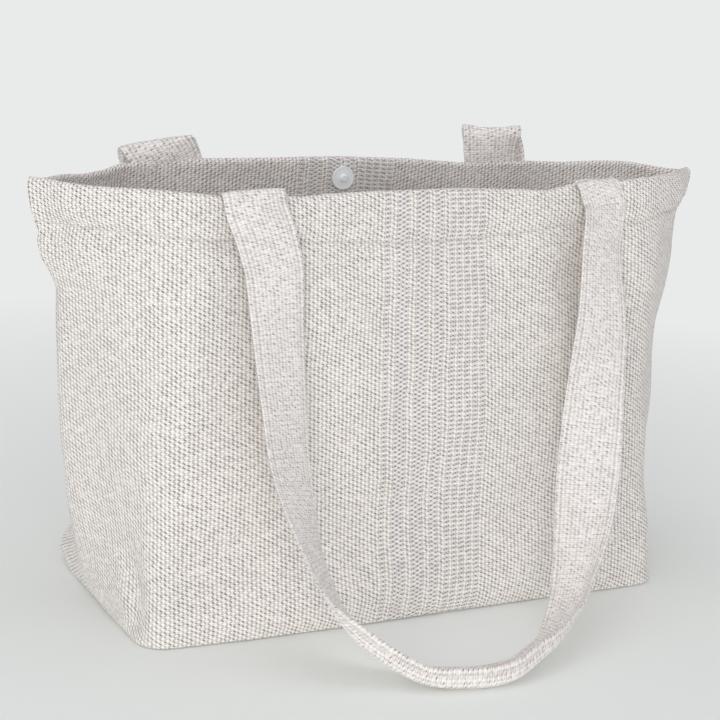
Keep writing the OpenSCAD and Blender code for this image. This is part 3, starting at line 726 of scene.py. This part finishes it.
# Stations along a strap from its left end in the hem to its right end: x, y, z of the middle in mm, where
# None in y is the middle of the hem; turn of its width about the vertical, away from pointing left, and tilt
# of its outer edge upwards, in degrees; how far that edge stands up; its width as a share of the flat one.
# What is left out is 0, 0, 0 and 1.
frontWay = [
    (-134, None, 277), (-134, None, 290, 0, -1), (-134, None, 300.5, 0, -2.5),
    (-134, -71.4, 304.6, 0, -3.5), (-134, -75.4, 301.4, 0, -3), (-133.2, -77.2, 294, 1, -1.5),
    (-131, -79.6, 286, 1.6), (-128.2, -82.4, 277, 2.8), (-125.2, -85.6, 264, 5),
    (-123.2, -88.6, 250, 8.2), (-122.2, -95.8, 211.0, 18.3), (-122.1, -107.9, 169.9, 26.5),
    (-121.7, -122.7, 127.6, 35.0), (-118.6, -147.5, 85.6, 52.5, 0, 0.04),
    (-108.1, -165.8, 49.3, 65, 0, 0.2, 0.98), (-93, -183, 25, 75, 0, 0.7, 0.9),
    (-65, -207, 6.5, 84, 0, 0.82, 0.8), (-37.5, -218.5, 2.6, 81, 0, 1, 0.76),
    (-5.5, -222, 3.2, 69, 0, 1, 0.76), (25.2, -211.6, 10.4, 53, 0, 0.68, 0.8),
    (52.0, -195, 19, 66, 0, 0.42, 0.86), (74.4, -175.4, 36, 97, 0, 0.4, 0.92),
    (90.3, -156.2, 69.2, 121, 0, 0.28), (102.5, -137.3, 112.3, 147.9, 0, 0.15),
    (114.3, -120.3, 157.1, 169.1), (127.5, -102.1, 208.4, 187.0), (131.6, -88.6, 256, 200, 0, 0, 0.98),
    (136, -82, 279, 198, 0, 0, 0.95), (137, -79.5, 292, 190, 0, 0, 0.9),
    (133.5, -76.6, 302, 182, 0, 0, 0.82), (131, -72, 307, 180, 0, 0, 0.78),
    (131, -68.6, 303.5, 180, 0, 0, 0.8), (132, None, 296, 180, 0, 0, 0.9), (134, None, 288, 180),
    (134, None, 277, 180),
]
rearWay = [
    (-134, None, 277), (-134, None, 290, 0, -5), (-136, None, 299, 0, -20, 0, 1.05),
    (-141, 82.8, 308, 0, -28, 0, 1.1), (-147, 84.2, 315, 0, -15, 0, 1.2),
    (-149, 88, 318.5, 0, -9, 0, 1.24), (-150, 92.5, 314, 0, -6, 0, 1.2), (-150, 95, 305, 0, -4, 0, 1.1),
    (-149, 98, 295, 0, -2, 0, 1.03), (-144, 101, 280, 2), (-132, 109, 251, 8), (-124, 115, 211, 16),
    (-120.6, 123, 170, 24), (-119, 135, 128, 34), (-115, 151, 86, 48, 0, 0.1),
    (-104, 170, 48.5, 64, 0, 0.3), (-87, 188, 22, 78, 0, 0.6), (-62, 205, 8, 87, 0, 0.9),
    (-32, 214, 3, 90, 0, 1), (0, 215, 2.6, 92, 0, 1), (29.5, 206, 5, 96, 0, 0.9),
    (56, 190, 14, 103, 0, 0.6), (78, 173, 35, 114, 0, 0.3), (95, 155, 69, 128, 0, 0.1),
    (107, 140, 112, 142), (118, 128, 157, 155), (128, 117, 208, 166), (139, 106, 254, 174),
    (149, 100, 284, 183), (147, 97, 301, 188), (142, 95.5, 312, 189, 0, 0, 1.02),
    (137, 93.3, 321.5, 188, 0, 0, 1.05), (133.5, 88, 326.3, 187, 0, 0, 1.07),
    (131, 83.4, 321.5, 185, 0, 0, 1.07), (130.5, 82.8, 312, 182, 0, 0, 1.06),
    (131, 82.9, 303, 180, 0, 0, 1.03), (132, None, 291, 180), (134, None, 277, 180),
]


def sewnDepth(side, x, z):    # where in y the middle of the hem lies, between its two layers
    points = halves[side]["points"][:halves[side]["crest"]]
    level = np.argmin(np.abs(points[..., 2] - z), 0)
    outer = np.take_along_axis(points, level[None, :, None], 0)[0]
    return float(np.interp(x, outer[:, 0], outer[:, 1])) - side * bag["rimThickness"] / 2


def smoothWay(stations, step):
    # Catmull-Rom curve through the stations, at even steps
    p = np.array(stations, float)
    p = np.concatenate([2 * p[:1] - p[1:2], p, 2 * p[-1:] - p[-2:-1]])
    f = np.linspace(0, 1, 24, endpoint=False)[:, None]
    parts = []
    for a, b, c, d in zip(p[:-3], p[1:-2], p[2:-1], p[3:]):
        parts.append(b + 0.5 * f * (c - a + f * (2 * a - 5 * b + 4 * c - d + f * (3 * (b - c) + d - a))))
    fine = np.concatenate(parts + [p[-2:-1]])
    length = along(fine[None, :, :3], 1)[0]
    even = np.linspace(0, length[-1], int(length[-1] / step))
    return np.column_stack([np.interp(even, length, fine[:, k]) for k in range(fine.shape[1])]), even


def strapFrames(way, side):
    # directions across the strap and out of it, at each point of its way
    turn, tilt = np.radians(way[:, 3]), np.radians(way[:, 4])
    tangent = unit(np.gradient(way[:, :3], axis=0))
    level = np.cos(tilt)
    across = np.column_stack([-np.cos(turn) * level, side * np.sin(turn) * level, np.sin(tilt)])
    square = unit(across - (across * tangent).sum(1)[:, None] * tangent)
    across = unit(mix(square, unit(across), smooth(np.abs(tilt) / strap["squareTilt"])[:, None]))
    return across, unit(np.cross(across, tangent)) * -side


def strapSection(edgeUp, q):
    # middle line of the section at q across, and the direction outwards there; the outer edge, where q is
    # positive, stands up by edgeUp
    count = strap["curlPoints"]
    fine = np.linspace(-strap["width"] / 2, strap["width"] / 2, count)
    heading = np.radians(strap["curlUp"]) * edgeUp * smooth((fine - 4) / 12)
    heading = heading - np.radians(strap["curlDown"]) * edgeUp * smooth((-fine - 6) / 14)
    step = fine[1] - fine[0]
    a, b = np.cumsum(np.cos(heading)) * step, np.cumsum(np.sin(heading)) * step
    a, b = a - a[count // 2], b - b[count // 2]
    h = np.interp(q, fine, heading)
    return np.interp(q, fine, a), np.interp(q, fine, b), -np.sin(h), np.cos(h)


def strapSurface(way, side, q, height):
    across, out = strapFrames(way, side)
    rows = []
    for i in range(len(way)):
        a, b, na, nb = strapSection(max(0.0, way[i, 5]), q)
        a, b = (a + height * na) * way[i, 6], b + height * nb
        rows.append(way[i, :3] + across[i] * a[:, None] + out[i] * b[:, None])
    return np.array(rows)


def halfThickness(q):
    half = strap["width"] / 2
    body = strap["thickness"] / 2 * np.sqrt(np.maximum(0, 1 - np.abs(q / half) ** strap["edgeSharpness"]))
    return body - strap["groove"] * hump(np.abs(q) - (half - strap["stitchIn"]), strap["grooveReach"])


def makeStrap(name, stations, side):
    stations = [(x, sewnDepth(side, x, z) if y is None else y, z, *rest, *(0, 0, 0, 1)[len(rest):])
                for x, y, z, *rest in stations]
    way, length = smoothWay(stations, strap["step"])
    half = strap["width"] / 2
    stitchedAt = half - strap["stitchIn"]
    q = np.sin(np.linspace(-math.pi / 2, math.pi / 2, strap["around"])) * half
    q, h = np.concatenate([q, q[-2:0:-1]]), np.concatenate([halfThickness(q), -halfThickness(q[-2:0:-1])])
    rings = strapSurface(way, side, q, h)
    n, m = rings.shape[:2]
    faces = tubeFaces(n, m)
    if side == front:
        faces = [face[::-1] for face in faces]
    u = np.where(h >= 0, q, strap["undersideShift"] - q)
    uvs = np.stack([np.tile(u, (n, 1)), np.repeat(length[:, None], m, 1)], -1)
    gap = np.tile(np.abs(q) - stitchedAt, (n, 1))
    made = makeObject(name, rings, faces, uvs, strapCotton, None, gap)
    _, out = strapFrames(way, side)
    rows = []
    for place in np.array([[stitchedAt], [-stitchedAt]]):
        for face in (1, -1):
            line = strapSurface(way, side, place, halfThickness(place) * face)[:, 0]
            rows.append((line[2:-2], out[2:-2] * face))
    return made, rows, length[-1]


straps, strapRows = {}, {}
for side, stations in ((front, frontWay), (rear, rearWay)):
    word = wallWords[side]
    piece, rows, length = makeStrap(word + "Strap", stations, side)
    straps[word], strapRows[word] = piece, rows
    print(word, "strap length", round(length), "mm")
print("straps made")


# Stitches

stitchSizes = {
    "strap": {"pitch": 3.6, "length": 2.7, "thickness": 0.75},
    "hem": {"pitch": 4.2, "length": 3.2, "thickness": 0.75},
}


def stitchTree():
    tree = bpy.data.node_groups.new("stitches along a line", "GeometryNodeTree")
    for name, kind in (("Geometry", "Geometry"), ("Pitch", "Float"), ("Length", "Float"),
                       ("Thickness", "Float"), ("Seed", "Int"), ("Thread", "Material")):
        tree.interface.new_socket(name, in_out="INPUT", socket_type="NodeSocket" + kind)
    tree.interface.new_socket("Geometry", in_out="OUTPUT", socket_type="NodeSocketGeometry")
    given = addNode(tree, "NodeGroupInput").outputs
    curve = addNode(tree, "GeometryNodeMeshToCurve", {0: given["Geometry"]})
    spaced = addNode(tree, "GeometryNodeResampleCurve", {"Curve": curve, "Length": given["Pitch"]},
                     mode="LENGTH")
    facing = addNode(tree, "GeometryNodeInputNamedAttribute", {"Name": "facing"}, data_type="FLOAT_VECTOR")
    ahead = addNode(tree, "GeometryNodeInputTangent")
    upright = addNode(tree, "FunctionNodeAlignRotationToVector", {"Vector": facing}, axis="Z")
    turned = addNode(tree, "FunctionNodeAlignRotationToVector", {
        "Rotation": upright, "Vector": ahead}, axis="X", pivot_axis="Z")
    loose = addNode(tree, "FunctionNodeRandomValue", {
        "Seed": given["Seed"], 0: (0.9, 0.85, 0.9), 1: (1.1, 1.15, 1.1)}, data_type="FLOAT_VECTOR")
    size = addNode(tree, "ShaderNodeCombineXYZ", {
        0: given["Length"], 1: given["Thickness"], 2: given["Thickness"]})
    ball = addNode(tree, "GeometryNodeMeshUVSphere", {"Segments": 8, "Rings": 5, "Radius": 0.5})
    grain = addNode(tree, "GeometryNodeTransform", {"Geometry": ball, "Scale": size})
    placed = addNode(tree, "GeometryNodeInstanceOnPoints", {
        "Points": spaced, "Instance": grain, "Rotation": turned, "Scale": loose})
    real = addNode(tree, "GeometryNodeRealizeInstances", {0: placed})
    rounded = addNode(tree, "GeometryNodeSetShadeSmooth", {0: real})
    painted = addNode(tree, "GeometryNodeSetMaterial", {"Geometry": rounded, "Material": given["Thread"]})
    addNode(tree, "NodeGroupOutput", {"Geometry": painted})
    return tree


stitches = stitchTree()


def makeStitches(name, rows, sizes, seed):
    # rows of stitches: each row a line of points in mm and the direction in which the cloth faces there
    points, facing = (np.concatenate(part) for part in zip(*rows))
    edges, start = [], 0
    for line, _ in rows:
        edges += [(start + i, start + i + 1) for i in range(len(line) - 1)]
        start += len(line)
    mesh = bpy.data.meshes.new(name + "Lines")
    mesh.from_pydata((points / 1000).tolist(), edges, [])
    mesh.attributes.new("facing", "FLOAT_VECTOR", "POINT").data.foreach_set("vector", facing.ravel())
    lines = addObject(name + "Lines", mesh)
    modifier = lines.modifiers.new("stitches", "NODES")
    modifier.node_group = stitches
    values = {key.capitalize(): size / 1000 for key, size in sizes.items()}
    values.update({"Seed": seed, "Thread": thread})
    for item in stitches.interface.items_tree:
        if item.in_out == "INPUT" and item.name in values:
            modifier[item.identifier] = values[item.name]
    view = bpy.context.evaluated_depsgraph_get()
    made = addObject(name, bpy.data.meshes.new_from_object(lines.evaluated_get(view)))
    made.data.name = name
    bpy.data.objects.remove(lines)
    return made


def hemRow(run, first, last):
    # the line of stitching on the outside of a half, between two columns
    points, normals = run["points"], run["normals"]
    across = run["uv"][30, :, 0]    # places across the bag, about a quarter of the way up
    line, facing = [], []
    for j in range(first, last + 1):
        z = points[:run["crest"], j, 2]
        level = table(hemLine[run["side"]], across[j])
        i = int(np.searchsorted(z, level)) - 1
        share = (level - z[i]) / (z[i + 1] - z[i])
        line.append(mix(points[i, j], points[i + 1, j], share))
        facing.append(mix(normals[i, j], normals[i + 1, j], share))
    return np.array(line), unit(np.array(facing))


for side, run in halves.items():
    word = wallWords[side]
    middle = makeStitches(word + "HemStitches", [hemRow(run, *run["corners"])], stitchSizes["hem"], 3 + side)
    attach(middle, word + "_wall")
    for end, first, last in run["ends"]:
        hand = handWords[end]
        piece = makeStitches(hand + word.capitalize() + "SideStitches", [hemRow(run, first, last)],
                             stitchSizes["hem"], 7 + side + end)
        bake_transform(piece)

for word, piece in straps.items():
    sewn = makeStitches(word + "StrapStitches", strapRows[word], stitchSizes["strap"], 11)
    for part in (piece, sewn):
        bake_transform(part)
    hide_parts(word + "_strap", word + "_strap_folds", word + "_strap_ends")
print("stitches made")


# Floor and light

studio = {
    "floor": "#F4F7F3", "far": "#E9EBEA", "tableGlow": 0.14, "sky": 0.59, "skyColour": "#F8F8FD",
    "fadeFrom": 0.32, "fadeTo": 1.05,    # m from the middle, where the paper fades into the far colour
    "floorReach": 60, "aimHeight": 0.15,
    # each lamp's place and size in m, and its power in W
    "lamps": {"softbox": ((-1.72, -2.84, 0.86), (2.8, 1.4), 43),
              "overhead": ((0, 0.2, 3.2), (1.6, 1.6), 13)},
}


def makeFloor():
    material, tree = newMaterial("matt paper sweep")
    place = addNode(tree, "ShaderNodeTexCoord").outputs["Object"]
    distance = addNode(tree, "ShaderNodeVectorMath", {0: place}, operation="LENGTH").outputs["Value"]
    far = addNode(tree, "ShaderNodeMapRange", {
        "Value": distance, "From Min": studio["fadeFrom"], "From Max": studio["fadeTo"]})
    paper = addNode(tree, "ShaderNodeBsdfDiffuse", {"Color": linear(studio["floor"])})
    glow = addNode(tree, "ShaderNodeEmission", {"Color": linear(studio["far"])})
    lit = addNode(tree, "ShaderNodeEmission", {"Strength": studio["tableGlow"]})
    bright = addNode(tree, "ShaderNodeAddShader", {0: paper, 1: lit})
    seen = addNode(tree, "ShaderNodeLightPath").outputs["Is Camera Ray"]
    near = addNode(tree, "ShaderNodeMixShader", {0: far, 1: paper, 2: glow})
    both = addNode(tree, "ShaderNodeMixShader", {0: seen, 1: bright, 2: near})
    addNode(tree, "ShaderNodeOutputMaterial", {"Surface": both})
    reach = studio["floorReach"]
    mesh = bpy.data.meshes.new("floor")
    mesh.from_pydata([(x * reach, y * reach, 0) for x, y in ((-1, -1), (1, -1), (1, 1), (-1, 1))], [],
                     [(0, 1, 2, 3)])
    mesh.materials.append(material)
    floor = addObject("floor", mesh)


def makeLight():
    for name, (place, size, power) in studio["lamps"].items():
        lamp = bpy.data.lights.new(name, "AREA")
        lamp.shape = "RECTANGLE"
        lamp.size, lamp.size_y = size
        lamp.energy = power
        made = addObject(name, lamp)
        made.location = place
        aim = Vector((0, 0, studio["aimHeight"])) - made.location
        made.rotation_euler = aim.to_track_quat("-Z", "Y").to_euler()
    world = bpy.data.worlds.new("studio")
    world.use_nodes = True
    tree = world.node_tree
    tree.nodes.clear()
    path = addNode(tree, "ShaderNodeLightPath").outputs
    light = addNode(tree, "ShaderNodeBackground", {
        "Color": linear(studio["skyColour"]), "Strength": studio["sky"]})
    seen = addNode(tree, "ShaderNodeBackground", {"Color": linear(studio["far"]), "Strength": 1.0})
    direct = addNode(tree, "ShaderNodeMath", {0: path["Is Camera Ray"], 1: path["Is Glossy Ray"]},
                     operation="MAXIMUM")
    both = addNode(tree, "ShaderNodeMixShader", {0: direct, 1: light, 2: seen})
    addNode(tree, "ShaderNodeOutputWorld", {"Surface": both})
    bpy.context.scene.world = world


makeFloor()
makeLight()
bpy.context.scene.view_settings.view_transform = "Standard"
